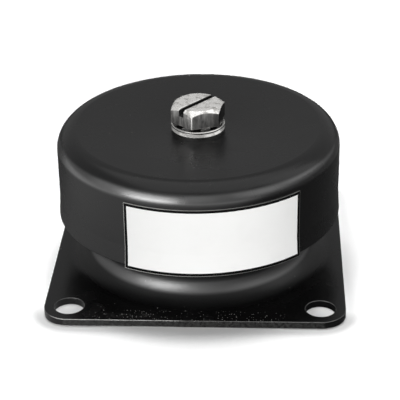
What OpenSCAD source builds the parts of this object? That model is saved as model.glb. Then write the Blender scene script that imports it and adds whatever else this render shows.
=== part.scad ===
// Rubber anti-vibration mount: a pressed base plate with a drawn neck, a rubber
// element moulded between the neck and a steel hub, and a pressed hood over both.
// Z is up, the base stands on z = 0 and the mount's axis is the Z axis.

/* [Base plate] */
// Side of the square flange
flange_w = 60; // [54:0.5:76]
// Corner radius of the flange
flange_corner_r = 5; // [2:0.5:8]
// Thickness of the pressed sheet
plate_t = 1.5; // [1:0.1:2]
// Distance of the fixing holes' centres from the flange's edges
hole_inset = 5; // [4.5:0.1:6.5]
// Diameter of the fixing holes
hole_d = 6; // [4:0.1:7]
// Outside diameter of the drawn neck
neck_d = 45; // [42:0.5:48]
// Height of the neck's lip above the mounting face
neck_h = 19; // [17.5:0.5:20.5]
// Radius of the flare between the flange and the neck, where the flange has room for it
flare_max_r = 5; // [3:0.5:6.5]
// Least flat width of the flange outside the flare
flange_flat = 0.5; // [0.2:0.1:2]
// Outside radius of the bend where the neck turns in to its lip
lip_bend_r = 3; // [2.2:0.1:4]
// Diameter of the opening inside the lip
lip_opening_d = 27; // [24:0.5:29]

/* [Hood] */
// Outside diameter of the hood below its rim
hood_d = 58; // [54:0.5:64]
// Height of the hood's rim above the mounting face
hood_h = 30; // [29:0.5:36]
// Thickness of the pressed sheet
hood_t = 1.2; // [0.8:0.1:1.8]
// Outside radius of the rim between top and skirt
rim_r = 4; // [2.5:0.5:5]
// Depth of the dished top below the rim
dish = 0.9; // [0.1:0.1:1.2]
// Diameter of the flat seat in the middle of the top
seat_d = 14; // [12:0.5:24]
// Height of the skirt's lower edge above the mounting face
skirt_gap = 11.8; // [10:0.2:14]
// How far the skirt's lower edge is belled out
bell = 0.25; // [0.05:0.05:0.6]
// Height of the belled stretch
bell_h = 4; // [2:0.5:8]

/* [Label] */
// Length of the label round the hood
label_l = 36.3; // [20:0.1:60]
// Height of the label
label_h = 14.3; // [8:0.1:14.6]
// Thickness of the label
label_t = 0.2; // [0.1:0.05:0.5]
// How far the label hangs below the skirt's edge
label_drop = 0.55; // [0:0.05:1.5]
// Direction that the label's middle faces, in degrees from +X
label_face = 279; // [240:1:300]

/* [Hub] */
// Diameter of the hub's body
hub_d = 13; // [11:0.5:15]
// Diameter of the flange that carries the hood
hub_flange_d = 22; // [18:0.5:25]
// Thickness of that flange
hub_flange_t = 1.5; // [1:0.1:2.5]
// Diameter of the spigots that pass through the hood and the rebound washer
spigot_d = 9; // [8:0.2:10]
// Distance of the upper spigot below the hood's seat, so that the bolt clamps the hood
spigot_setback = 0.2; // [0.1:0.1:0.6]
// Height of the swaged head on the lower spigot
swage_h = 0.8; // [0.5:0.1:1.5]
// How far the swaged head spreads past its spigot on each side
swage_spread = 1.2; // [0.6:0.1:2]

/* [Rebound washer] */
// Outside diameter of the washer that holds the mount together under pull
rebound_d = 32; // [30:0.5:35]
// Thickness of that washer
rebound_t = 1.5; // [1:0.1:2.5]
// Height of its underside above the mounting face
rebound_z = 9.5; // [8:0.5:11]

/* [Rubber element] */
// Downward travel before the hood meets the bump bead
bump_travel = 5; // [3:0.5:6]
// Upward travel before the rebound washer meets the rebound bead
rebound_travel = 3; // [2:0.5:4]
// Width of both beads outward from the lip's edge
bead_w = 3.8; // [3:0.1:4.5]
// Thickness of the shear section where it leaves the hub, above and below its middle
bond_h = 6.4; // [4:0.2:6.8]
// Depth of the grooves between the shear section and the beads
groove = 1.6; // [0.5:0.1:2.2]
// Rounding of the moulded edges
mould_r = 0.9; // [0.3:0.1:1.2]
// Rounding at the bottom of the grooves
groove_r = 0.7; // [0.2:0.1:1.2]

/* [Centre bolt] */
// Diameter of the bolt's thread
bolt_d = 6; // [5:0.1:6.4]
// Length of the bolt under its head
bolt_l = 20; // [14:0.5:22]
// Distance across the flats of the hexagon head
head_af = 10; // [9:0.1:11]
// Height of the head
head_h = 3.65; // [3:0.05:5]
// Diameter of the flat face inside the head's chamfer
head_face_d = 9; // [7:0.1:9.5]
// Angle of the chamfer below that face
head_chamfer = 35; // [15:1:45]
// Width of the screwdriver slot
slot_w = 1.2; // [0.8:0.1:2]
// Depth of the screwdriver slot
slot_h = 1.3; // [0.8:0.1:2]
// How far the bolt is turned from a corner facing +X, in degrees
bolt_turn = 20; // [0:1:59]
// Radial play between the bolt's plain shank and the hub's bore
thread_play = 0.05; // [0.02:0.01:0.2]

/* [Washers] */
// Outside diameter of the seat washer, which lies on the hood
seat_washer_d = 11; // [10:0.2:12]
// Thickness of the seat washer
seat_washer_t = 0.9; // [0.7:0.1:1.4]
// Height of the bevel round the seat washer's upper edge
seat_bevel_h = 0.6; // [0.2:0.05:0.65]
// Width of that bevel
seat_bevel_w = 0.4; // [0.2:0.05:0.8]
// Outside diameter of the thin flat washer on top of it
flat_washer_d = 11; // [10:0.2:12]
// Thickness of the flat washer
flat_washer_t = 0.5; // [0.4:0.05:1]
// Edge chamfer of the flat washer
flat_washer_edge = 0.15; // [0.05:0.05:0.2]
// Radial play of the washers on the bolt
washer_play = 0.2; // [0.1:0.05:0.4]
// Diameter over the teeth of the lock washer
lock_washer_d = 10.4; // [9.8:0.1:11]
// Diameter of the lock washer's plain ring
lock_ring_d = 8.4; // [7.6:0.1:9]
// Thickness of the lock washer's sheet
lock_washer_t = 0.4; // [0.3:0.05:0.6]
// Number of teeth on the lock washer
lock_teeth = 8; // [6:1:10]
// Width of each tooth
tooth_w = 1.9; // [1:0.1:2.4]
// Twist of each tooth, in degrees
tooth_twist = 8; // [5:1:14]
// How far the lock washer is turned from a tooth facing +X, in degrees
lock_washer_turn = 20; // [0:1:59]

/* [Hidden] */
$fn = 96;

neck_r = neck_d / 2;
flare_r = min(flare_max_r, flange_w / 2 - neck_r - flange_flat);
hole_pitch = flange_w - 2 * hole_inset;
lip_r = lip_opening_d / 2;
lip_bottom = neck_h - plate_t;

hood_r = hood_d / 2;
seat_z = hood_h - dish;
hood_under = seat_z - hood_t;
bell_top = skirt_gap + bell_h;

hub_r = hub_d / 2;
spigot_r = spigot_d / 2;
hub_flange_z = hood_under - hub_flange_t;
rebound_top = rebound_z + rebound_t;
bore_r = bolt_d / 2 + thread_play;

bead_r = lip_r + bead_w;
bump_top = hood_under - bump_travel;
rebound_bottom = rebound_top + rebound_travel;
bond_mid = (hub_flange_z + rebound_top) / 2;

washer_bore_r = bolt_d / 2 + washer_play;
tooth_root_r = (washer_bore_r + lock_ring_d / 2) / 2;
flat_washer_z = seat_z + seat_washer_t;
lock_washer_z = flat_washer_z + flat_washer_t;
lock_washer_h = tooth_w * sin(tooth_twist) + lock_washer_t * cos(tooth_twist);
head_z = lock_washer_z + lock_washer_h;
head_corner_r = head_af / 2 / cos(30);
shank_chamfer = bolt_d / 10;

label_angle = label_l / hood_r * 180 / PI;
label_z = skirt_gap - label_drop;

// How far a cutting shape runs past the face that it opens
past = 1;

black_paint = [0.13, 0.13, 0.135];
bright_steel = [0.72, 0.71, 0.69];
plain_steel = [0.45, 0.46, 0.48];
black_rubber = [0.07, 0.07, 0.075];
label_white = [0.93, 0.93, 0.92];

// Quarter bend in sheet, centred on the origin and turned in steps of 90 degrees
module sheet_bend(inner_r, sheet_t, turn) {
    rotate(turn)
        intersection() {
            difference() {
                circle(inner_r + sheet_t);
                circle(inner_r);
            }
            square(inner_r + sheet_t);
        }
}

module rounded_square(w, r) {
    square([w - 2 * r, w], center = true);
    square([w, w - 2 * r], center = true);
    for (x = [-1, 1], y = [-1, 1])
        translate([x * (w / 2 - r), y * (w / 2 - r)])
            circle(r);
}

module ring(outer_r, inner_r, h) {
    difference() {
        cylinder(r = outer_r, h = h);
        translate([0, 0, -past])
            cylinder(r = inner_r, h = h + 2 * past);
    }
}

// Section of the drawn neck, from the flare at the flange up to the lip
module neck_section() {
    translate([neck_r + flare_r, plate_t + flare_r])
        sheet_bend(flare_r, plate_t, 180);
    translate([neck_r - plate_t, plate_t + flare_r])
        square([plate_t, neck_h - lip_bend_r - plate_t - flare_r]);
    translate([neck_r - lip_bend_r, neck_h - lip_bend_r])
        sheet_bend(lip_bend_r - plate_t, plate_t, 0);
    translate([lip_r, lip_bottom])
        square([neck_r - lip_bend_r - lip_r, plate_t]);
}

module base_plate() {
    color(black_paint) {
        rotate_extrude()
            neck_section();
        difference() {
            linear_extrude(plate_t)
                rounded_square(flange_w, flange_corner_r);
            translate([0, 0, -past])
                cylinder(r = neck_r + flare_r, h = plate_t + 2 * past);
            for (x = [-1, 1], y = [-1, 1])
                translate([x * hole_pitch / 2, y * hole_pitch / 2, -past])
                    cylinder(d = hole_d, h = plate_t + 2 * past);
        }
    }
}

// Rubber before the neck and the hub are taken out of it: a shear section that
// leaves the hub thick, with a bump bead above the lip and a rebound bead below
module rubber_outline() {
    polygon([
        [hub_r - mould_r, bond_mid - bond_h],
        [hub_r + mould_r, bond_mid - bond_h],
        [lip_r - groove, lip_bottom - groove],
        [lip_r, rebound_bottom],
        [bead_r, rebound_bottom],
        [bead_r, bump_top],
        [lip_r, bump_top],
        [lip_r - groove, neck_h + groove],
        [hub_r + mould_r, bond_mid + bond_h],
        [hub_r - mould_r, bond_mid + bond_h]
    ]);
}

module rubber_element() {
    color(black_rubber)
        rotate_extrude()
            difference() {
                offset(r = mould_r, $fn = 48)
                    offset(r = -mould_r - groove_r, $fn = 48)
                        offset(delta = groove_r)
                            rubber_outline();
                neck_section();
                square([hub_r, hood_h]);
            }
}

module hub() {
    color(plain_steel)
        difference() {
            union() {
                translate([0, 0, rebound_z - swage_h])
                    cylinder(r1 = spigot_r, r2 = spigot_r + swage_spread, h = swage_h);
                translate([0, 0, rebound_z])
                    cylinder(r = spigot_r, h = rebound_t);
                translate([0, 0, rebound_top])
                    cylinder(r = hub_r, h = hub_flange_z - rebound_top);
                translate([0, 0, hub_flange_z])
                    cylinder(d = hub_flange_d, h = hub_flange_t);
                translate([0, 0, hood_under])
                    cylinder(r = spigot_r, h = hood_t - spigot_setback);
            }
            cylinder(r = bore_r, h = hood_h);
        }
}

module rebound_washer() {
    color(plain_steel)
        translate([0, 0, rebound_z])
            ring(rebound_d / 2, spigot_r, rebound_t);
}

// Section of the hood: belled edge, skirt, rim and dished top with its flat seat
module hood_section() {
    polygon([
        [hood_r + bell - hood_t, skirt_gap],
        [hood_r + bell, skirt_gap],
        [hood_r, bell_top],
        [hood_r - hood_t, bell_top]
    ]);
    translate([hood_r - hood_t, bell_top])
        square([hood_t, hood_h - rim_r - bell_top]);
    translate([hood_r - rim_r, hood_h - rim_r])
        sheet_bend(rim_r - hood_t, hood_t, 0);
    polygon([
        [spigot_r, hood_under],
        [seat_d / 2, hood_under],
        [hood_r - rim_r, hood_h - hood_t],
        [hood_r - rim_r, hood_h],
        [seat_d / 2, seat_z],
        [spigot_r, seat_z]
    ]);
}

module hood() {
    color(black_paint)
        rotate_extrude()
            hood_section();
}

module seat_washer() {
    color(bright_steel)
        translate([0, 0, seat_z])
            rotate_extrude()
                polygon([
                    [washer_bore_r, 0],
                    [seat_washer_d / 2, 0],
                    [seat_washer_d / 2, seat_washer_t - seat_bevel_h],
                    [seat_washer_d / 2 - seat_bevel_w, seat_washer_t],
                    [washer_bore_r, seat_washer_t]
                ]);
}

module flat_washer() {
    color(bright_steel)
        translate([0, 0, flat_washer_z])
            rotate_extrude()
                polygon([
                    [washer_bore_r, 0],
                    [flat_washer_d / 2 - flat_washer_edge, 0],
                    [flat_washer_d / 2, flat_washer_edge],
                    [flat_washer_d / 2, flat_washer_t - flat_washer_edge],
                    [flat_washer_d / 2 - flat_washer_edge, flat_washer_t],
                    [washer_bore_r, flat_washer_t]
                ]);
}

// Flat ring with outward teeth, each twisted so that it bites above and below
module lock_washer() {
    tooth_l = lock_washer_d / 2 - tooth_root_r;
    color(bright_steel)
        translate([0, 0, lock_washer_z + lock_washer_h / 2])
            difference() {
                union() {
                    translate([0, 0, -lock_washer_t / 2])
                        cylinder(d = lock_ring_d, h = lock_washer_t);
                    for (i = [0 : lock_teeth - 1])
                        rotate(lock_washer_turn + i * 360 / lock_teeth)
                            rotate([tooth_twist, 0, 0])
                                translate([tooth_root_r, -tooth_w / 2, -lock_washer_t / 2])
                                    cube([tooth_l, tooth_w, lock_washer_t]);
                }
                cylinder(r = washer_bore_r, h = 2 * lock_washer_h, center = true);
            }
}

module centre_bolt() {
    chamfer_h = (head_corner_r - head_face_d / 2) * tan(head_chamfer);
    color(bright_steel)
        rotate(bolt_turn) {
            difference() {
                translate([0, 0, head_z])
                    cylinder(r = head_corner_r, h = head_h, $fn = 6);
                translate([0, 0, head_z + head_h - chamfer_h])
                    difference() {
                        cylinder(r = head_corner_r + past, h = chamfer_h + past);
                        cylinder(r1 = head_corner_r, r2 = head_face_d / 2, h = chamfer_h);
                    }
                rotate(30)
                    translate([0, 0, head_z + head_h + (past - slot_h) / 2])
                        cube([2 * head_af, slot_w, slot_h + past], center = true);
            }
            translate([0, 0, head_z - bolt_l + shank_chamfer])
                cylinder(d = bolt_d, h = bolt_l - shank_chamfer);
            translate([0, 0, head_z - bolt_l])
                cylinder(d1 = bolt_d - 2 * shank_chamfer, d2 = bolt_d, h = shank_chamfer);
        }
}

// Thin label bent round the skirt, following its belled edge
module label_plate() {
    label_top = label_z + label_h;
    bell_slope = bell / bell_h;
    low_r = hood_r + (bell_top - label_z) * bell_slope;
    color(label_white)
        rotate(label_face - label_angle / 2)
            rotate_extrude(angle = label_angle)
                polygon([
                    [low_r, label_z],
                    [low_r + label_t, label_z],
                    [hood_r + label_t, bell_top],
                    [hood_r + label_t, label_top],
                    [hood_r, label_top],
                    [hood_r, bell_top]
                ]);
}

base_plate();
rubber_element();
hub();
rebound_washer();
hood();
seat_washer();
flat_washer();
lock_washer();
centre_bolt();
label_plate();
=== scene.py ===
import math

import bpy
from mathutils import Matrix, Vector
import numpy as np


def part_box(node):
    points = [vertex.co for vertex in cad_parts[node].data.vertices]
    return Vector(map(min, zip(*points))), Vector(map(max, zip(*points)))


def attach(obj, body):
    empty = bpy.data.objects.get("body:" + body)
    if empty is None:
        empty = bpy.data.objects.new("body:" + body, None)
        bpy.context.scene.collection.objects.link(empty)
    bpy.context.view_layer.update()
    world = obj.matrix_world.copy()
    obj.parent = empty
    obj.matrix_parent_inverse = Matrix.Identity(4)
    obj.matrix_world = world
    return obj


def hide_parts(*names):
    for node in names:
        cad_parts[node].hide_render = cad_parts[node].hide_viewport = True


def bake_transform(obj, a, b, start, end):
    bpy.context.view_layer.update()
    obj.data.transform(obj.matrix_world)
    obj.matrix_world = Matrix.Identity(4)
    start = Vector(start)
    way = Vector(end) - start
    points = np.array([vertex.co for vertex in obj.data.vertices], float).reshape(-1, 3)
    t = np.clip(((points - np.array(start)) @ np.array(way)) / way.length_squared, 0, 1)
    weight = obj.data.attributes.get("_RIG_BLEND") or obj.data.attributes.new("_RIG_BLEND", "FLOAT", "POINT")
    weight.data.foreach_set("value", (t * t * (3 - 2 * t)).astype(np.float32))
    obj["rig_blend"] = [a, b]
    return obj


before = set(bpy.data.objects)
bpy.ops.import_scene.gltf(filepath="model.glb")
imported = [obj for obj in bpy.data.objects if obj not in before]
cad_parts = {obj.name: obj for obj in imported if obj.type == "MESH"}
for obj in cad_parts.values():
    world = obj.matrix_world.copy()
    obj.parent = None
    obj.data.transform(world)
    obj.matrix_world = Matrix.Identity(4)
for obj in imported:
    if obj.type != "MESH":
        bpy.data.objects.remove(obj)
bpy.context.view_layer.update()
mm = 0.001
print("frame loaded:", len(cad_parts), "parts")


# small helpers, used by everything below

def deselectAll():
    for item in bpy.context.selected_objects:
        item.select_set(False)


def takeObject(name):
    # names what was just added and leaves it the only thing selected
    piece = bpy.context.active_object
    piece.name = name
    piece.data.name = name
    return piece


def applyPlace(piece):
    deselectAll()
    piece.select_set(True)
    bpy.context.view_layer.objects.active = piece
    bpy.ops.object.transform_apply(location=True, rotation=True, scale=True)


# a normal's z beyond this belongs to a level face
levelFace = 0.9


def pickFaces(piece, wanted):
    # selects the faces that wanted(centre, normal) says yes to
    mesh = piece.data
    for vertex in mesh.vertices:
        vertex.select = False
    for edge in mesh.edges:
        edge.select = False
    for face in mesh.polygons:
        face.select = bool(wanted(face.center, face.normal))


def editMode(piece, kind="FACE"):
    bpy.context.view_layer.objects.active = piece
    bpy.ops.object.mode_set(mode="EDIT")
    bpy.ops.mesh.select_mode(type=kind)


def objectMode():
    bpy.ops.object.mode_set(mode="OBJECT")


def applyModifier(piece, kind, **settings):
    modifier = piece.modifiers.new(kind.title(), kind)
    for key, value in settings.items():
        setattr(modifier, key, value)
    bpy.context.view_layer.objects.active = piece
    bpy.ops.object.modifier_apply(modifier=modifier.name)


def cleanShell(piece, mergeWithin=0.001):
    # merges points this many mm apart and turns every face outward
    deselectAll()
    piece.select_set(True)
    editMode(piece, "VERT")
    bpy.ops.mesh.select_all(action="SELECT")
    bpy.ops.mesh.remove_doubles(threshold=mergeWithin * mm)
    bpy.ops.mesh.normals_make_consistent(inside=False)
    objectMode()


def smoothByAngle(piece, degrees):
    deselectAll()
    piece.select_set(True)
    bpy.context.view_layer.objects.active = piece
    bpy.ops.object.shade_smooth_by_angle(angle=math.radians(degrees))


def joinInto(piece, *others):
    deselectAll()
    for other in (piece, *others):
        other.select_set(True)
    bpy.context.view_layer.objects.active = piece
    bpy.ops.object.join()


# material helpers

def scaled(*lengths):
    return [length * mm for length in lengths]


def newMaterial(name):
    material = bpy.data.materials.new(name)
    material.use_nodes = True
    tree = material.node_tree
    shader = tree.nodes["Principled BSDF"]
    place = tree.nodes.new("ShaderNodeTexCoord").outputs["Object"]
    return material, tree, shader, place


def feed(tree, socket, value):
    # links a socket or sets a value, and three figures are a colour
    if isinstance(value, bpy.types.NodeSocket):
        tree.links.new(value, socket)
    else:
        socket.default_value = (*value, 1.0) if isinstance(value, tuple) else value


def math2(tree, operation, first, second=0.0, clamp=False):
    node = tree.nodes.new("ShaderNodeMath")
    node.operation = operation
    node.use_clamp = clamp
    feed(tree, node.inputs[0], first)
    feed(tree, node.inputs[1], second)
    return node.outputs[0]


def noise(tree, place, scale, detail, rough=0.5):
    node = tree.nodes.new("ShaderNodeTexNoise")
    feed(tree, node.inputs["Vector"], place)
    node.inputs["Scale"].default_value = scale
    node.inputs["Detail"].default_value = detail
    node.inputs["Roughness"].default_value = rough
    return node.outputs["Fac"]


def rangeOf(tree, value, fromLow, fromHigh, toLow=0.0, toHigh=1.0, smooth=False):
    node = tree.nodes.new("ShaderNodeMapRange")
    node.interpolation_type = "SMOOTHSTEP" if smooth else "LINEAR"
    feed(tree, node.inputs["Value"], value)
    node.inputs["From Min"].default_value = fromLow
    node.inputs["From Max"].default_value = fromHigh
    node.inputs["To Min"].default_value = toLow
    node.inputs["To Max"].default_value = toHigh
    return node.outputs["Result"]


def blendColour(tree, share, first, second):
    node = tree.nodes.new("ShaderNodeMix")
    node.data_type = "RGBA"
    for number, value in ((0, share), (6, first), (7, second)):
        feed(tree, node.inputs[number], value)
    return node.outputs[2]


def splitPlace(tree, place):
    node = tree.nodes.new("ShaderNodeSeparateXYZ")
    feed(tree, node.inputs[0], place)
    return node.outputs[0], node.outputs[1], node.outputs[2]


def facing(tree):
    # which way the surface looks, by axis
    return splitPlace(tree, tree.nodes.new("ShaderNodeNewGeometry").outputs["Normal"])


def turned(tree, place, degrees):
    # x, y and z in a frame turned about the axis
    node = tree.nodes.new("ShaderNodeMapping")
    feed(tree, node.inputs["Vector"], place)
    node.inputs["Rotation"].default_value = (0, 0, math.radians(-degrees))
    return splitPlace(tree, node.outputs[0])


def lengthOf(tree, first, second):
    # how far two steps at right angles lead
    squares = [math2(tree, "MULTIPLY", step, step) for step in (first, second)]
    return math2(tree, "SQRT", math2(tree, "ADD", *squares))


def bumpOf(tree, height, depth, strength=1.0, under=None):
    node = tree.nodes.new("ShaderNodeBump")
    feed(tree, node.inputs["Height"], height)
    node.inputs["Distance"].default_value = depth
    node.inputs["Strength"].default_value = strength
    if under is not None:
        feed(tree, node.inputs["Normal"], under)
    return node.outputs["Normal"]


def roundedEdges(tree, radius, samples=8):
    node = tree.nodes.new("ShaderNodeBevel")
    node.samples = samples
    node.inputs["Radius"].default_value = radius
    return node.outputs["Normal"]


def edgeShare(tree, rounded, same=0.99, apart=0.80):
    # near 1 where the rounded normal leaves the true one, so along the edges
    geometry = tree.nodes.new("ShaderNodeNewGeometry")
    dot = tree.nodes.new("ShaderNodeVectorMath")
    dot.operation = "DOT_PRODUCT"
    feed(tree, dot.inputs[0], rounded)
    feed(tree, dot.inputs[1], geometry.outputs["Normal"])
    return rangeOf(tree, dot.outputs["Value"], same, apart)


def specks(tree, place, scale, size, kept):
    # sparse round dots, full inside half their size in mm; kept is the share of cells that hold one
    size = size * mm
    node = tree.nodes.new("ShaderNodeTexVoronoi")
    feed(tree, node.inputs["Vector"], place)
    node.inputs["Scale"].default_value = scale
    dot = rangeOf(tree, node.outputs["Distance"], size * scale, 0.5 * size * scale)
    red = tree.nodes.new("ShaderNodeSeparateColor")
    feed(tree, red.inputs[0], node.outputs["Color"])
    chosen = math2(tree, "LESS_THAN", red.outputs[0], kept)
    return math2(tree, "MULTIPLY", dot, chosen)


def within(tree, value, low, high, soft):
    # 1 between low and high, falling to 0 over soft outside them
    rise = rangeOf(tree, value, low - soft, low, smooth=True)
    return math2(tree, "MULTIPLY", rise, rangeOf(tree, value, high, high + soft, 1.0, 0.0, smooth=True))


def times(tree, *factors):
    result = factors[0]
    for factor in factors[1:]:
        result = math2(tree, "MULTIPLY", result, factor)
    return result


def setShader(tree, shader, **values):
    names = {"colour": "Base Color", "metal": "Metallic", "rough": "Roughness", "normal": "Normal",
             "gloss": "Specular IOR Level", "coat": "Coat Weight", "coatRough": "Coat Roughness"}
    for key, value in values.items():
        feed(tree, shader.inputs[names[key]], value)


def dress(nodeName, material):
    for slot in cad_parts[nodeName].material_slots:
        slot.material = material


# camera

cameraView = {
    "place": (0.014338, -0.269007, 0.155970),
    "turn": (61.925, 0.830, 2.580),
    "lens": 130.63, "sensor": 36, "nearest": 0.01,
}

bpy.ops.object.camera_add(location=cameraView["place"],
                          rotation=[math.radians(a) for a in cameraView["turn"]])
camera = bpy.context.active_object
camera.name = "camera"
camera.data.lens = cameraView["lens"]
camera.data.sensor_width = cameraView["sensor"]
camera.data.clip_start = cameraView["nearest"]
bpy.context.scene.camera = camera
print("camera ready")


# slotted bolt

boltSize = {
    # mm and degrees; steps and sides count facets
    "hexTurn": -10, "slotTurn": 50, "acrossFlats": 10, "headHeight": 3.65, "faceWidth": 9, "chamfer": 35,
    "slotWidth": 1.2, "slotDepth": 1.3, "softEdge": 0.16, "softAbove": 28, "cornerRound": 0.13, "roundSteps": 3,
    "shankWidth": 6, "endChamfer": 0.6, "pitch": 1.0, "threadDepth": 0.55, "threadTurns": 14, "threadSteps": 48,
    "rootOverlap": 0.05, "margin": 0.5, "blankSides": 96, "shankSides": 64, "smoothBelow": 30,
}
# a hexagon's flats lie this share of the way out to its corners
flatShare = math.cos(math.radians(30))


def makeBolt(size):
    low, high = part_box("centre_bolt")
    top = high.z
    headLow = top - size["headHeight"] * mm
    cornerRadius = size["acrossFlats"] / 2 * mm / flatShare
    faceRadius = size["faceWidth"] / 2 * mm
    margin = size["margin"] * mm

    # hexagon bar, a little taller than the head
    bpy.ops.mesh.primitive_cylinder_add(
        vertices=6, radius=cornerRadius, depth=size["headHeight"] * mm + 2 * margin,
        location=(0, 0, (top + headLow) / 2), rotation=(0, 0, math.radians(size["hexTurn"])))
    head = takeObject("slottedBolt")
    applyPlace(head)
    for edge in head.data.edges:
        ends = [head.data.vertices[i].co for i in edge.vertices]
        edge.select = abs(ends[0].z - ends[1].z) > margin
    editMode(head, "EDGE")
    bpy.ops.mesh.bevel(offset=size["cornerRound"] * mm, segments=size["roundSteps"])
    objectMode()

    # turned blank that gives the bar its chamfered face
    blankRadius = cornerRadius + margin
    coneHeight = (blankRadius - faceRadius) * math.tan(math.radians(size["chamfer"]))
    bpy.ops.mesh.primitive_cylinder_add(
        vertices=size["blankSides"], radius=blankRadius, depth=size["headHeight"] * mm - coneHeight,
        location=(0, 0, (headLow + top - coneHeight) / 2))
    blank = takeObject("turnedBlank")
    applyPlace(blank)
    pickFaces(blank, lambda centre, normal: normal.z > levelFace)
    editMode(blank)
    bpy.ops.mesh.extrude_region_move(TRANSFORM_OT_translate={"value": (0, 0, coneHeight)})
    share = faceRadius / blankRadius
    bpy.ops.transform.resize(value=(share, share, 1))
    objectMode()
    applyModifier(head, "BOOLEAN", operation="INTERSECT", object=blank)
    bpy.data.objects.remove(blank)

    # screwdriver slot
    bpy.ops.mesh.primitive_cube_add(
        size=1, location=(0, 0, top - size["slotDepth"] / 2 * mm + margin),
        rotation=(0, 0, math.radians(size["slotTurn"])),
        scale=(4 * cornerRadius, size["slotWidth"] * mm, size["slotDepth"] * mm + 2 * margin))
    slotTool = takeObject("slotTool")
    applyPlace(slotTool)
    applyModifier(head, "BOOLEAN", operation="DIFFERENCE", object=slotTool)
    bpy.data.objects.remove(slotTool)
    applyModifier(head, "BEVEL", width=size["softEdge"] * mm, segments=size["roundSteps"],
                  limit_method="ANGLE", angle_limit=math.radians(size["softAbove"]))

    # the thread's core, with a chamfered end
    threadDepth = size["threadDepth"] * mm
    coreRadius = size["shankWidth"] / 2 * mm - threadDepth
    bpy.ops.mesh.primitive_cylinder_add(vertices=size["shankSides"], radius=coreRadius, depth=headLow - low.z,
                                        location=(0, 0, (headLow + low.z) / 2))
    shank = takeObject("shank")
    applyPlace(shank)
    pickFaces(shank, lambda centre, normal: normal.z < -levelFace)
    editMode(shank)
    bpy.ops.mesh.bevel(offset=size["endChamfer"] / 2 * mm, segments=1)
    objectMode()

    # one turn's profile of the thread, wound up the core
    pitch = size["pitch"] * mm
    bpy.ops.mesh.primitive_circle_add(vertices=3, radius=1, rotation=(math.radians(90), 0, 0))
    thread = takeObject("thread")
    applyPlace(thread)
    start = low.z + size["endChamfer"] * mm
    root = coreRadius - size["rootOverlap"] * mm
    profile = [(root, start), (coreRadius + threadDepth, start + pitch / 2), (root, start + pitch)]
    for vertex, (radius, height) in zip(thread.data.vertices, profile):
        vertex.co = (radius, 0, height)
    applyModifier(thread, "SCREW", angle=2 * math.pi, screw_offset=pitch, iterations=size["threadTurns"],
                  steps=size["threadSteps"], render_steps=size["threadSteps"], axis="Z", use_merge_vertices=False)
    editMode(thread, "EDGE")
    bpy.ops.mesh.select_all(action="DESELECT")
    bpy.ops.mesh.select_non_manifold()
    bpy.ops.mesh.edge_face_add()
    objectMode()
    joinInto(head, shank, thread)
    cleanShell(head)
    smoothByAngle(head, size["smoothBelow"])
    return head


bolt = makeBolt(boltSize)
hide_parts("centre_bolt")
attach(bolt, "top")
print("bolt made")


# rubber moulding between the neck and the hub

rubberSize = {
    "hubRadius": 6.5, "lipRadius": 13.5, "lipLow": 17.5, "lipHigh": 19, "beadRadius": 17.3,
    "bumpTop": 22.9, "reboundLow": 14, "bondHeight": 6.4, "groove": 1.6,
    "edgeRound": 0.9, "roundSteps": 5, "longEdge": 1.2, "cuts": 5, "steps": 96, "smoothBelow": 40,
}


def makeRubber(size):
    low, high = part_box("rubber_element")
    middle = (low.z + high.z) / 2 / mm
    hub, lip, bead = size["hubRadius"], size["lipRadius"], size["beadRadius"]
    root = lip - size["groove"]
    section = [
        (hub, middle - size["bondHeight"]), (hub + size["edgeRound"], middle - size["bondHeight"]),
        (root, size["lipLow"] - size["groove"]), (lip, size["reboundLow"]), (bead, size["reboundLow"]),
        (bead, size["lipLow"]), (lip, size["lipLow"]), (lip, size["lipHigh"]), (bead, size["lipHigh"]),
        (bead, size["bumpTop"]), (lip, size["bumpTop"]), (root, size["lipHigh"] + size["groove"]),
        (hub + size["edgeRound"], middle + size["bondHeight"]), (hub, middle + size["bondHeight"]),
    ]
    bpy.ops.mesh.primitive_circle_add(vertices=len(section), radius=1, fill_type="NGON",
                                      rotation=(math.radians(90), 0, 0))
    rubber = takeObject("rubberMoulding")
    applyPlace(rubber)
    for vertex, (radius, height) in zip(rubber.data.vertices, section):
        vertex.co = (radius * mm, 0, height * mm)
    # soft moulded corners, apart from those that lie against the steel
    editMode(rubber, "VERT")
    bpy.ops.mesh.select_all(action="DESELECT")
    objectMode()
    bonded = {(hub, section[0][1]), (hub, section[-1][1]), (lip, size["lipLow"]), (lip, size["lipHigh"]),
              (bead, size["lipLow"]), (bead, size["lipHigh"])}
    for vertex, point in zip(rubber.data.vertices, section):
        vertex.select = point not in bonded
    editMode(rubber, "VERT")
    bpy.ops.mesh.bevel(offset=size["edgeRound"] * mm, segments=size["roundSteps"], affect="VERTICES")
    objectMode()
    for edge in rubber.data.edges:
        ends = [rubber.data.vertices[i].co for i in edge.vertices]
        edge.select = (ends[0] - ends[1]).length > size["longEdge"] * mm
    editMode(rubber, "EDGE")
    bpy.ops.mesh.subdivide(number_cuts=size["cuts"])
    bpy.ops.mesh.select_all(action="SELECT")
    bpy.ops.mesh.delete(type="ONLY_FACE")
    bpy.ops.mesh.select_all(action="SELECT")
    bpy.ops.mesh.spin(steps=size["steps"], angle=2 * math.pi, center=(0, 0, 0), axis=(0, 0, 1))
    objectMode()
    cleanShell(rubber)
    smoothByAngle(rubber, size["smoothBelow"])
    return rubber


rubber = makeRubber(rubberSize)
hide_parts("rubber_element")
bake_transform(rubber, "top", "base", start=(0, 0, 0), end=(rubberSize["lipRadius"] * mm, 0, 0))
shares = rubber.data.attributes["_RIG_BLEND"].data
for vertex, share in zip(rubber.data.vertices, shares):
    radius = math.hypot(vertex.co.x, vertex.co.y) / mm
    reach = (radius - rubberSize["hubRadius"]) / (rubberSize["lipRadius"] - rubberSize["hubRadius"])
    reach = min(1, max(0, reach))
    share.value = reach * reach * (3 - 2 * reach)
print("rubber made")


# finishes

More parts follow.
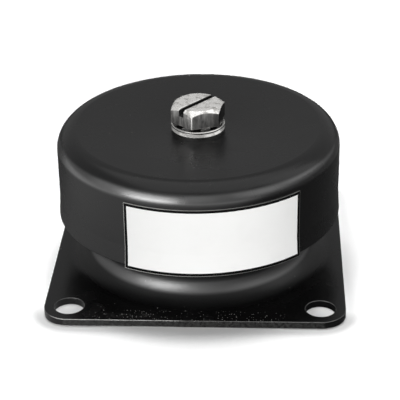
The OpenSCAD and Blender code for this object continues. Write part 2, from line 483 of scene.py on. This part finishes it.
# a noise is its scale, detail and roughness, a range is from and to, specks are scale, size and share of cells,
# and lengths are in mm
paintLook = {
    "colour": (0.003, 0.003, 0.0031), "gloss": 0.5, "rough": 0.28, "roughChange": 0.04, "edgeRadius": 0.22,
    "cloud": (120, 3), "cloudRange": (0.3, 0.7), "peel": (2300, 2), "peelDepth": 0.010,
    "specks": (900, 0.13, 0.012), "speckColour": (0.11, 0.108, 0.10),
    "filmIndex": 1.86, "filmRise": (0.05, 0.20), "filmFall": (0.50, 0.66),
}
basePaintLook = {
    **paintLook,
    "rough": 0.38, "filmIndex": 1.92, "edgeRadius": 0.30, "peelDepth": 0.022, "specks": (900, 0.13, 0.05),
}
flangeMarksAndHighlight = {
    # x and y on the flange, whose front edge is at y -30; soft is how far a mark fades out in x and in y
    "dustFrom": (-17.0, -28.9), "dustTo": (-9.0, -27.8), "dustSoft": (2.5, 0.5), "dustNoise": (900, 4, 0.75),
    "dustRange": (0.44, 0.66), "dustShare": 0.08, "dustColour": (0.52, 0.515, 0.50),
    "crumbsFrom": (-18.0, -29.2), "crumbsTo": (14.0, -25.0), "crumbSoft": (5, 1.5), "crumbStrip": 1.8,
    "fineCrumbs": (2300, 0.11, 0.46), "looseCrumbs": (1500, 0.12, 0.12),
    "flangeAbove": 1.2, "dull": -0.13, "dullRange": (1.9, 1.55),
    "sideColour": (0.036, 0.036, 0.035), "sideNoise": (1600, 3, 0.7), "sideRange": (0.35, 0.65),
    "sideFaint": 0.1, "sideAt": (-29.9, -29.97),
    # the edges' pale colour is partly paint rubbed thin and partly a painted highlight
    "wornHighlightStrip": (-28.0, -6.0, 5), "wornHighlightColour": (0.85, 0.845, 0.83), "wornHighlightNoise": (420, 4, 0.7),
    "wornHighlightRange": (0.30, 0.60), "wornHighlightFaint": 0.45, "wornHighlightFront": (-28.5, -29.5), "wornHighlightElsewhere": 0.18,
}


def markFlangeAndHighlight(tree, place, rounded, colour, rough, marksAndHighlight):
    x, y, z = splitPlace(tree, place)
    onFlange = math2(tree, "GREATER_THAN", z, marksAndHighlight["flangeAbove"] * mm)
    rough = math2(tree, "ADD", rough, rangeOf(tree, z, *scaled(*marksAndHighlight["dullRange"]), 0.0, marksAndHighlight["dull"]))
    # a smear of fine dust near the front edge
    (left, front), (right, back) = marksAndHighlight["dustFrom"], marksAndHighlight["dustTo"]
    softX, softY = marksAndHighlight["dustSoft"]
    smear = times(tree, within(tree, x, *scaled(left, right, softX)), within(tree, y, *scaled(front, back, softY)),
                  rangeOf(tree, noise(tree, place, *marksAndHighlight["dustNoise"]), *marksAndHighlight["dustRange"]), onFlange)
    colour = blendColour(tree, times(tree, smear, marksAndHighlight["dustShare"]), colour, marksAndHighlight["dustColour"])
    # fine crumbs in a strip along the edge, and loose ones further in
    (left, front), (right, back) = marksAndHighlight["crumbsFrom"], marksAndHighlight["crumbsTo"]
    softX, softY = marksAndHighlight["crumbSoft"]
    fine = times(tree, specks(tree, place, *marksAndHighlight["fineCrumbs"]),
                 within(tree, y, *scaled(front, front + marksAndHighlight["crumbStrip"], softY)))
    loose = times(tree, specks(tree, place, *marksAndHighlight["looseCrumbs"]), within(tree, y, *scaled(front, back, softY)))
    crumbs = times(tree, math2(tree, "MAXIMUM", fine, loose), onFlange, within(tree, x, *scaled(left, right, softX)))
    colour = blendColour(tree, crumbs, colour, marksAndHighlight["dustColour"])
    # the cut front side of the sheet is grey and grainy
    grainy = rangeOf(tree, noise(tree, place, *marksAndHighlight["sideNoise"]), *marksAndHighlight["sideRange"], marksAndHighlight["sideFaint"], 1.0)
    sideFace = rangeOf(tree, y, *scaled(*marksAndHighlight["sideAt"]))
    colour = blendColour(tree, times(tree, grainy, sideFace), colour, marksAndHighlight["sideColour"])
    # paint rubbed thin along the edges, with a painted highlight along them, strongest at the left of the front edge
    frontEdge = rangeOf(tree, y, *scaled(*marksAndHighlight["wornHighlightFront"]))
    most = times(tree, within(tree, x, *scaled(*marksAndHighlight["wornHighlightStrip"])), frontEdge)
    patchy = rangeOf(tree, noise(tree, place, *marksAndHighlight["wornHighlightNoise"]), *marksAndHighlight["wornHighlightRange"], marksAndHighlight["wornHighlightFaint"], 1.0)
    wornHighlight = times(tree, edgeShare(tree, rounded), patchy,
                   rangeOf(tree, most, 0.0, 1.0, marksAndHighlight["wornHighlightElsewhere"], 1.0))
    return blendColour(tree, wornHighlight, colour, marksAndHighlight["wornHighlightColour"]), rough


def makePaint(name, look, marksAndHighlight=None):
    material, tree, shader, place = newMaterial(name)
    colour = blendColour(tree, specks(tree, place, *look["specks"]), look["colour"], look["speckColour"])
    rounded = roundedEdges(tree, look["edgeRadius"] * mm)
    rough = rangeOf(tree, noise(tree, place, *look["cloud"]), *look["cloudRange"],
                    look["rough"] - look["roughChange"], look["rough"] + look["roughChange"])
    if marksAndHighlight:
        colour, rough = markFlangeAndHighlight(tree, place, rounded, colour, rough, marksAndHighlight)
    normal = bumpOf(tree, noise(tree, place, *look["peel"]), look["peelDepth"] * mm, under=rounded)
    # the shoulders get a glossier film, which the photo doesn't show: it lets weak lamps make the highlights,
    # and strong ones would turn the hood's flat top white from behind
    tilt = facing(tree)[2]
    shoulder = times(tree, rangeOf(tree, tilt, *look["filmRise"], smooth=True),
                     rangeOf(tree, tilt, *look["filmFall"], 1.0, 0.0, smooth=True))
    shader.inputs["Coat IOR"].default_value = look["filmIndex"]
    feed(tree, shader.inputs["Coat Normal"], normal)
    setShader(tree, shader, colour=colour, rough=rough, normal=normal, gloss=look["gloss"], coat=shoulder,
              coatRough=look["rough"])
    return material


steelMarks = {
    # marks and painted shade that the bolt and the washers share; the facing ranges are parts of the surface's normal
    "blotch": (4, 0.6), "stainRange": (0.50, 0.64), "sideFacing": (0.10, 0.40),
    "drawnStretch": 0.25, "drawnScale": 1.6, "drawn": (4, 0.7), "drawnRange": (0.40, 0.62),
    "paintedDarkSideFacing": (0.05, 0.90), "wornRange": (0.08, 0.40), "wornFacing": (0.5, 0.8),
    "cornerGap": (0.07, 0.055), "cornerFacing": (-0.6, 0.2, 0.2), "gapSoft": 0.12,
    "roughRange": (0.3, 0.7), "roughChange": (-0.04, 0.06), "paintedShadeRough": 0.4,
    "pitScale": 2.4, "pits": (3, 0.6), "pitStrength": 0.7, "dentDepth": 0.004, "gloss": 0.1,
}
boltLook = {
    # the turned top is bright, the hexagon's sides are duller, and the slot is painted dark as shade
    **steelMarks,
    "colour": (0.99, 0.975, 0.95), "stain": (0.52, 0.51, 0.49), "sides": (0.74, 0.73, 0.71),
    # paintedDarkSide is a painted dark reflection on the head's right flats
    "sideStain": (0.29, 0.286, 0.28), "paintedDarkSide": (0.03, 0.03, 0.03), "paintedShade": (0.012, 0.012, 0.012),
    "worn": (0.95, 0.94, 0.92), "polish": 0.72, "sidePolish": 0.88, "rough": 0.27, "sideRough": 0.32,
    "wornRough": 0.55, "edgeRadius": 0.22, "blotchScale": 700,
    "slotSide": (0.02, 0.10), "slotTop": (0.12, 0.30), "slotFloor": 0.25,
}
washerLook = {
    **steelMarks,
    # the washers' upright walls are painted dark: a painted dark reflection between their bright rims
    "colour": (0.80, 0.79, 0.77), "stain": (0.60, 0.59, 0.57), "sides": (0.17, 0.17, 0.17),
    "sideStain": (0.10, 0.10, 0.10), "paintedDarkSide": (0.17, 0.17, 0.17), "paintedShade": (0.010, 0.010, 0.010),
    "worn": (0.80, 0.79, 0.77), "polish": 0.84, "sidePolish": 0.95, "rough": 0.20, "sideRough": 0.30,
    "wornRough": 0.2, "edgeRadius": 0.05, "blotchScale": 900, "gapRadius": 5.1,
}
toothLook = {**washerLook, "gapRadius": 4.7}


def slotShare(tree, place, size, look):
    # 1 inside the screwdriver slot, below the worn rim of its mouth, where painted shade goes
    y, z = turned(tree, place, size["slotTurn"])[1:]
    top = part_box("centre_bolt")[1].z
    halfWidth = size["slotWidth"] / 2
    inWidth = rangeOf(tree, math2(tree, "ABSOLUTE", y), *scaled(*(halfWidth + gap for gap in look["slotSide"])),
                      1.0, 0.0)
    return times(tree, inWidth, rangeOf(tree, z, *(top - depth * mm for depth in look["slotTop"])),
                 math2(tree, "GREATER_THAN", z, top - (size["slotDepth"] + look["slotFloor"]) * mm))


def makeSteel(name, look, slotOf=None):
    material, tree, shader, place = newMaterial(name)
    x, y = splitPlace(tree, place)[:2]
    reach = lengthOf(tree, x, y)
    direction = facing(tree)
    facingX, facingZ = direction[0], direction[2]
    blotch = noise(tree, place, look["blotchScale"], *look["blotch"])
    stain = rangeOf(tree, blotch, *look["stainRange"], smooth=True)
    colour = blendColour(tree, stain, look["colour"], look["stain"])
    # the drawn sides carry marks along the bar
    sides = rangeOf(tree, facingZ, *look["sideFacing"], 1.0, 0.0)
    stretch = tree.nodes.new("ShaderNodeMapping")
    feed(tree, stretch.inputs["Vector"], place)
    stretch.inputs["Scale"].default_value = (1, 1, look["drawnStretch"])
    drawn = noise(tree, stretch.outputs[0], look["drawnScale"] * look["blotchScale"], *look["drawn"])
    sideColour = blendColour(tree, rangeOf(tree, drawn, *look["drawnRange"]), look["sides"], look["sideStain"])
    # the head is dark on its right, most likely a reflection: its right flats get a painted dark reflection, not oil,
    # so they stay dark under any light
    sideColour = blendColour(tree, rangeOf(tree, facingX, *look["paintedDarkSideFacing"]), sideColour, look["paintedDarkSide"])
    colour = blendColour(tree, sides, colour, sideColour)
    # edges are worn bright, apart from those on the side with the painted dark reflection
    rounded = roundedEdges(tree, look["edgeRadius"] * mm)
    worn = times(tree, rangeOf(tree, edgeShare(tree, rounded), *look["wornRange"]),
                 rangeOf(tree, facingX, *look["wornFacing"], 1.0, 0.0))
    if slotOf:
        # so are the hexagon's corners
        corner = slotOf["acrossFlats"] / 2 / flatShare
        rubbedCorner = rangeOf(tree, reach, *scaled(*(corner - gap for gap in look["cornerGap"])))
        worn = math2(tree, "MAXIMUM", worn, times(tree, rubbedCorner, within(tree, facingX, *look["cornerFacing"])))
        # painted shade inside the slot
        paintedShade = slotShare(tree, place, slotOf, look)
    else:
        # painted shade in the gap under the bolt's head, none at the rim
        paintedShade = rangeOf(tree, reach, *scaled(look["gapRadius"], look["gapRadius"] + look["gapSoft"]), 1.0, 0.0)
    colour = blendColour(tree, worn, colour, look["worn"])
    colour = blendColour(tree, paintedShade, colour, look["paintedShade"])
    rough = rangeOf(tree, sides, 0.0, 1.0, look["rough"], look["sideRough"])
    for change in (rangeOf(tree, blotch, *look["roughRange"], *look["roughChange"]),
                   times(tree, worn, look["wornRough"] - look["sideRough"]),
                   times(tree, paintedShade, look["paintedShadeRough"])):
        rough = math2(tree, "ADD", rough, change)
    pits = noise(tree, place, look["pitScale"] * look["blotchScale"], *look["pits"])
    normal = bumpOf(tree, pits, look["dentDepth"] * mm, look["pitStrength"], under=rounded)
    metal = times(tree, math2(tree, "SUBTRACT", 1.0, paintedShade),
                  rangeOf(tree, sides, 0.0, 1.0, look["polish"], look["sidePolish"]))
    setShader(tree, shader, colour=colour, rough=rough, normal=normal, gloss=look["gloss"], metal=metal)
    return material


zincLook = {
    "colour": (0.42, 0.43, 0.44), "dull": (0.30, 0.31, 0.31), "cloud": (260, 3, 0.6), "dullRange": (0.4, 0.65),
    "rough": 0.42, "roughRise": 0.15, "roughRange": (0.3, 0.7), "markWidth": 0.22, "markDepth": 0.003,
    "edgeRadius": 0.15,
}


def makeZinc(name, look):
    material, tree, shader, place = newMaterial(name)
    cloud = noise(tree, place, *look["cloud"])
    colour = blendColour(tree, rangeOf(tree, cloud, *look["dullRange"]), look["colour"], look["dull"])
    rough = rangeOf(tree, cloud, *look["roughRange"], look["rough"], look["rough"] + look["roughRise"])
    # fine turning marks round the axis
    x, y, z = splitPlace(tree, place)
    travel = math2(tree, "ADD", lengthOf(tree, x, y), z)
    marks = math2(tree, "SINE", math2(tree, "MULTIPLY", travel, 2 * math.pi / (look["markWidth"] * mm)))
    normal = bumpOf(tree, marks, look["markDepth"] * mm, under=roundedEdges(tree, look["edgeRadius"] * mm))
    setShader(tree, shader, colour=colour, metal=1.0, rough=rough, normal=normal)
    return material


rubberLook = {
    "colour": (0.018, 0.018, 0.018), "bloomed": (0.05, 0.05, 0.048), "bloom": (200, 4, 0.6),
    "bloomRange": (0.5, 0.75), "roughRange": (0.3, 0.7), "rough": (0.62, 0.8), "grain": (2600, 2), "grainDepth": 0.01,
}


def makeRubberFinish(name, look):
    material, tree, shader, place = newMaterial(name)
    bloom = noise(tree, place, *look["bloom"])
    colour = blendColour(tree, rangeOf(tree, bloom, *look["bloomRange"]), look["colour"], look["bloomed"])
    rough = rangeOf(tree, bloom, *look["roughRange"], *look["rough"])
    normal = bumpOf(tree, noise(tree, place, *look["grain"]), look["grainDepth"] * mm)
    setShader(tree, shader, colour=colour, rough=rough, normal=normal)
    return material


labelLook = {
    # faces is the way the label looks, in degrees round the axis
    "faces": 279, "length": 36.3, "height": 14.3, "rim": 0.06, "line": 0.58, "radius": 29.0,
    "paper": (0.90, 0.90, 0.89), "ink": (0.006, 0.006, 0.006), "metal": (0.58, 0.58, 0.56),
    "soil": (180, 4, 0.6), "soilRange": (0.5, 0.8), "soilShare": 0.12, "soiled": (0.70, 0.70, 0.68),
    "ripple": (900, 2), "rippleDepth": 0.003, "rough": 0.5, "gloss": 0.02,
}


def makeLabelFinish(name, look):
    material, tree, shader, place = newMaterial(name)
    low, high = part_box("label_plate")
    x, y, z = turned(tree, place, look["faces"])
    along = math2(tree, "MULTIPLY", math2(tree, "ARCTAN2", y, x), look["radius"] * mm)
    up = math2(tree, "SUBTRACT", z, (low.z + high.z) / 2)
    # how far a place is from the label's nearest edge
    sideGap = math2(tree, "SUBTRACT", look["length"] / 2 * mm, math2(tree, "ABSOLUTE", along))
    endGap = math2(tree, "SUBTRACT", look["height"] / 2 * mm, math2(tree, "ABSOLUTE", up))
    gap = math2(tree, "MINIMUM", sideGap, endGap)
    rim = math2(tree, "LESS_THAN", gap, look["rim"] * mm)
    framed = math2(tree, "LESS_THAN", gap, (look["rim"] + look["line"]) * mm)
    soil = rangeOf(tree, noise(tree, place, *look["soil"]), *look["soilRange"], 0.0, look["soilShare"])
    paper = blendColour(tree, soil, look["paper"], look["soiled"])
    colour = blendColour(tree, rim, blendColour(tree, framed, paper, look["ink"]), look["metal"])
    normal = bumpOf(tree, noise(tree, place, *look["ripple"]), look["rippleDepth"] * mm)
    setShader(tree, shader, colour=colour, metal=rim, rough=look["rough"], normal=normal, gloss=look["gloss"])
    return material


washerSteel = makeSteel("washerSteel", washerLook)
zinc = makeZinc("dullZinc", zincLook)
dress("hood", makePaint("blackPaintHood", paintLook))
dress("base_plate", makePaint("blackPaintBase", basePaintLook, flangeMarksAndHighlight))
dress("seat_washer", washerSteel)
dress("flat_washer", washerSteel)
dress("lock_washer", makeSteel("toothSteel", toothLook))
dress("hub", zinc)
dress("rebound_washer", zinc)
dress("label_plate", makeLabelFinish("printedLabel", labelLook))
bolt.data.materials.clear()
bolt.data.materials.append(makeSteel("boltSteel", boltLook, slotOf=boltSize))
rubber.data.materials.clear()
rubber.data.materials.append(makeRubberFinish("mattRubber", rubberLook))
print("finishes set")


# floor, light and background

floorLook = {
    # lengths in mm, apart from width, glowRange and whiteRange, which are in metres
    "width": 3.0, "gap": 0.02, "rough": 0.9, "seen": (0.85, 0.85, 0.85), "bounced": (0.075, 0.075, 0.075),
    "grain": (60, 2), "grainRange": (0.3, 0.7), "grainShare": 0.03,
    "shadeReach": 14, "shadeSamples": 24, "shadeRange": (0.992, 0.88), "shadeKept": 0.58,
    "shadeFront": (9, 2), "shadeRightSoft": 1, "shadeRight": 0.35,
    "lift": 0.20, "whiteRange": (0.12, 0.50), "glow": 0.72, "glowRange": (0.005, 0.075), "glowSide": (-0.60, -0.80),
    "beneath": 1.1, "flangeHalf": 30, "edgeGap": 0.1, "cornerCut": 3.5, "holeInset": 5, "holeWidth": 6,
}


def rayKinds(tree):
    # 1 for what the camera sees itself, and 1 for what a mirror or a glass shows
    rays = tree.nodes.new("ShaderNodeLightPath")
    mirrored = math2(tree, "ADD", rays.outputs["Is Glossy Ray"], rays.outputs["Is Transmission Ray"])
    return rays.outputs["Is Camera Ray"], mirrored


def underPlate(tree, x, y, look):
    # 1 under the mounting face, inside its outline and outside its holes
    half = look["flangeHalf"] * mm
    across, along = math2(tree, "ABSOLUTE", x), math2(tree, "ABSOLUTE", y)
    fromHole = lengthOf(tree, *(math2(tree, "SUBTRACT", side, half - look["holeInset"] * mm)
                                for side in (across, along)))
    return times(tree,
                 math2(tree, "LESS_THAN", math2(tree, "MAXIMUM", across, along), half - look["edgeGap"] * mm),
                 math2(tree, "LESS_THAN", math2(tree, "ADD", across, along), 2 * half - look["cornerCut"] * mm),
                 math2(tree, "GREATER_THAN", fromHole, (look["holeWidth"] / 2 + look["edgeGap"]) * mm))


def makeFloor(look):
    bpy.ops.mesh.primitive_plane_add(size=look["width"], location=(0, 0, -look["gap"] * mm))
    floor = takeObject("floor")
    material, tree, shader, place = newMaterial("paleFloor")
    byCamera, mirrored = rayKinds(tree)
    grain = rangeOf(tree, noise(tree, place, *look["grain"]), *look["grainRange"], 0.0, look["grainShare"])
    seenColour = blendColour(tree, grain, look["seen"], (1.0, 1.0, 1.0))
    # soft contact shade close to the flange, along its front and its right side
    x, y = splitPlace(tree, place)[:2]
    nearby = tree.nodes.new("ShaderNodeAmbientOcclusion")
    nearby.samples = look["shadeSamples"]
    nearby.inputs["Distance"].default_value = look["shadeReach"] * mm
    half = look["flangeHalf"] * mm
    rightSoft = look["shadeRightSoft"] * mm
    inFront = rangeOf(tree, y, *(length * mm - half for length in look["shadeFront"]), smooth=True)
    atRight = rangeOf(tree, x, half - rightSoft, half + rightSoft, 0.0, look["shadeRight"])
    covered = rangeOf(tree, nearby.outputs["AO"], *look["shadeRange"], smooth=True)
    shade = times(tree, covered, math2(tree, "MAXIMUM", inFront, atRight))
    kept = rangeOf(tree, shade, 0.0, 1.0, 1.0, look["shadeKept"])
    seenColour = blendColour(tree, shade, seenColour, tuple(c * look["shadeKept"] for c in look["seen"]))
    setShader(tree, shader, colour=blendColour(tree, byCamera, look["bounced"], seenColour), rough=look["rough"],
              gloss=0.0)
    # the white of the background, for the camera and for what mirrors it, where it comes from the front left
    toLight = math2(tree, "ADD", *(math2(tree, "MULTIPLY", *pair) for pair in zip((x, y), look["glowSide"])))
    glow = rangeOf(tree, toLight, *look["glowRange"], 0.0, look["glow"], smooth=True)
    # far from the lamps the floor stays as white as the room behind it
    lift = rangeOf(tree, lengthOf(tree, x, y), *look["whiteRange"], look["lift"], 1.0, smooth=True)
    seen = math2(tree, "ADD", times(tree, byCamera, kept, lift), times(tree, mirrored, glow))
    # the floor lights the mounting face and the hollow above it, for a look from below
    beneath = times(tree, underPlate(tree, x, y, look), math2(tree, "SUBTRACT", 1.0, byCamera), look["beneath"])
    shader.inputs["Emission Color"].default_value = (1, 1, 1, 1)
    feed(tree, shader.inputs["Emission Strength"], math2(tree, "MAXIMUM", seen, beneath))
    # from below the floor isn't there, so that the mounting face can be seen
    under = tree.nodes.new("ShaderNodeMixShader")
    feed(tree, under.inputs["Fac"], tree.nodes.new("ShaderNodeNewGeometry").outputs["Backfacing"])
    feed(tree, under.inputs[1], shader.outputs[0])
    feed(tree, under.inputs[2], tree.nodes.new("ShaderNodeBsdfTransparent").outputs[0])
    feed(tree, tree.nodes["Material Output"].inputs["Surface"], under.outputs[0])
    floor.data.materials.append(material)
    return floor


makeFloor(floorLook)

roomLook = {"fill": 0.26, "background": 1.0, "reflected": 0.06}

world = bpy.data.worlds.new("room")
bpy.context.scene.world = world
world.use_nodes = True
tree = world.node_tree
byCamera, mirrored = rayKinds(tree)
seen = math2(tree, "ADD", byCamera, math2(tree, "MULTIPLY", mirrored, roomLook["reflected"]), clamp=True)
background = tree.nodes["Background"]
background.inputs["Color"].default_value = (1, 1, 1, 1)
feed(tree, background.inputs["Strength"],
     rangeOf(tree, seen, 0.0, 1.0, roomLook["fill"], roomLook["background"]))

lampList = {
    # place, width and height in metres, and watts; each lamp is seen by gloss only or by diffuse light only
    "overhead": {"place": (-0.010, 0.187, 0.791), "size": (0.24, 0.24), "power": 5.1, "gloss": False},
    "frontFill": {"place": (0.250, -0.806, 0.156), "size": (0.40, 0.26), "power": 4.3, "gloss": False},
    "keyLeft": {"place": (-0.338, -0.636, 0.222), "size": (0.80, 0.36), "power": 2.3, "gloss": False},
    "keyShine": {"place": (-0.338, -0.636, 0.222), "size": (0.80, 0.36), "power": 0.68, "diffuse": False},
    "lowLeft": {"place": (-0.140, -0.225, 0.028), "size": (0.16, 0.045), "power": 0.14, "diffuse": False},
    "hotLeft": {"place": (-0.399, -0.570, 0.170), "size": (0.50, 0.33), "power": 1.86, "diffuse": False},
    "wingLeft": {"place": (-0.680, -0.220, 0.250), "size": (0.36, 0.42), "power": 0.22, "diffuse": False},
    "middle": {"place": (0.060, -0.680, 0.300), "size": (0.30, 0.40), "power": 0.19, "diffuse": False},
    "wingRight": {"place": (0.500, -0.440, 0.340), "size": (0.46, 0.40), "power": 0.35, "diffuse": False},
    "lowRight": {"place": (0.610, -0.340, 0.200), "size": (0.40, 0.24), "power": 0.08, "diffuse": False},
    "sideRight": {"place": (0.610, 0.050, 0.450), "size": (0.50, 0.60), "power": 0.73, "diffuse": False},
    "topPanel": {"place": (0.0, 0.0, 0.820), "size": (1.10, 1.10), "power": 2.24, "diffuse": False},
}


lampAim = Vector((0, 0, 0.015))


def addLamp(name, look):
    bpy.ops.object.light_add(type="AREA", location=look["place"])
    lamp = bpy.context.active_object
    lamp.name = name
    lamp.data.shape = "RECTANGLE"
    lamp.data.size, lamp.data.size_y = look["size"]
    lamp.data.energy = look["power"]
    toward = lampAim - Vector(look["place"])
    lamp.rotation_euler = toward.to_track_quat("-Z", "Y").to_euler()
    lamp.visible_camera = False
    lamp.visible_diffuse = look.get("diffuse", True)
    lamp.visible_glossy = look.get("gloss", True)


for lampName, lampLook in lampList.items():
    addLamp(lampName, lampLook)

bpy.context.scene.view_settings.view_transform = "Standard"
print("light set")
